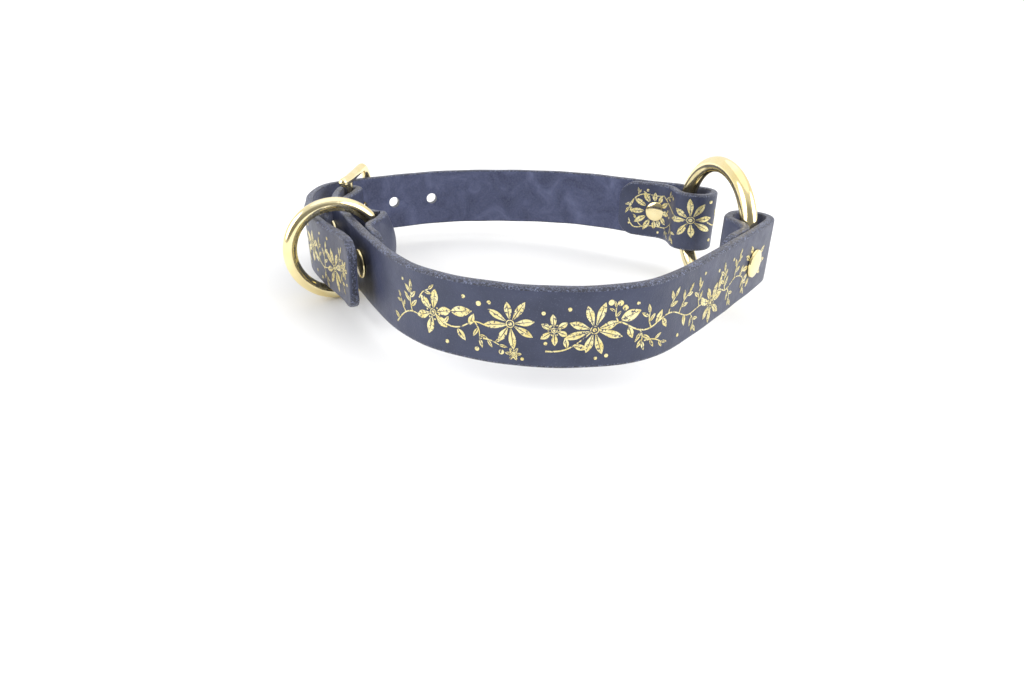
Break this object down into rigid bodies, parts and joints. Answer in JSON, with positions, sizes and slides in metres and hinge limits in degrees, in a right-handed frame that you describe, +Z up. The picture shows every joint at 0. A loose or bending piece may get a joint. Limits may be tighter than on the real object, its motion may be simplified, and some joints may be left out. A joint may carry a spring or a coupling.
{
  "type": "dog collar",
  "caption": "Two-strap leather dog collar: a large joining ring held in riveted folds on one side, a heel-bar buckle with prong and a leash ring on the other.",
  "frame": {"origin": "bottom centre of the bounding box, on the surface the collar stands on", "axes": "+Z up across the strap width, +X towards the joining ring, -Y is the front of the neck"},
  "size_m": [0.19, 0.1562, 0.0575],
  "materials": {
    "leather": "semi-gloss grain side, matt flesh side",
    "brass": "polished"
  },
  "bodies": {
    "collar": {"front_strap": "leather", "back_strap": "leather", "buckle_rivet_cap": "brass", "buckle_rivet_post": "brass", "leash_rivet_cap": "brass", "leash_rivet_post": "brass", "front_rivet_cap": "brass", "front_rivet_post": "brass", "back_rivet_cap": "brass", "back_rivet_post": "brass"},
    "joining_ring": {"joining_ring": "brass"},
    "leash_ring": {"leash_ring": "brass"},
    "buckle": {"buckle_frame": "brass"},
    "prong": {"buckle_prong": "brass"}
  },
  "joints": [
    {"name": "joining_ring_spin", "type": "hinge", "parent": "collar", "child": "joining_ring", "pos_m": [0.07816, 0.01817, 0.02873], "axis": [0.9686, 0.2455, 0.0392], "continuous": true},
    {"name": "leash_ring_spin", "type": "hinge", "parent": "collar", "child": "leash_ring", "pos_m": [-0.07471, -0.00708, 0.02018], "axis": [-0.438, 0.8987, -0.0228], "continuous": true},
    {"name": "buckle_hinge", "type": "hinge", "parent": "collar", "child": "buckle", "pos_m": [-0.0786, 0.03862, 0.01978], "axis": [-0.0417, 0.0051, 0.9991], "range_deg": [-1, 0.5]},
    {"name": "prong_hinge", "type": "hinge", "parent": "buckle", "child": "prong", "pos_m": [-0.0786, 0.03862, 0.01978], "axis": [-0.0417, 0.0051, 0.9991], "range_deg": [0, 0.7]}
  ]
}
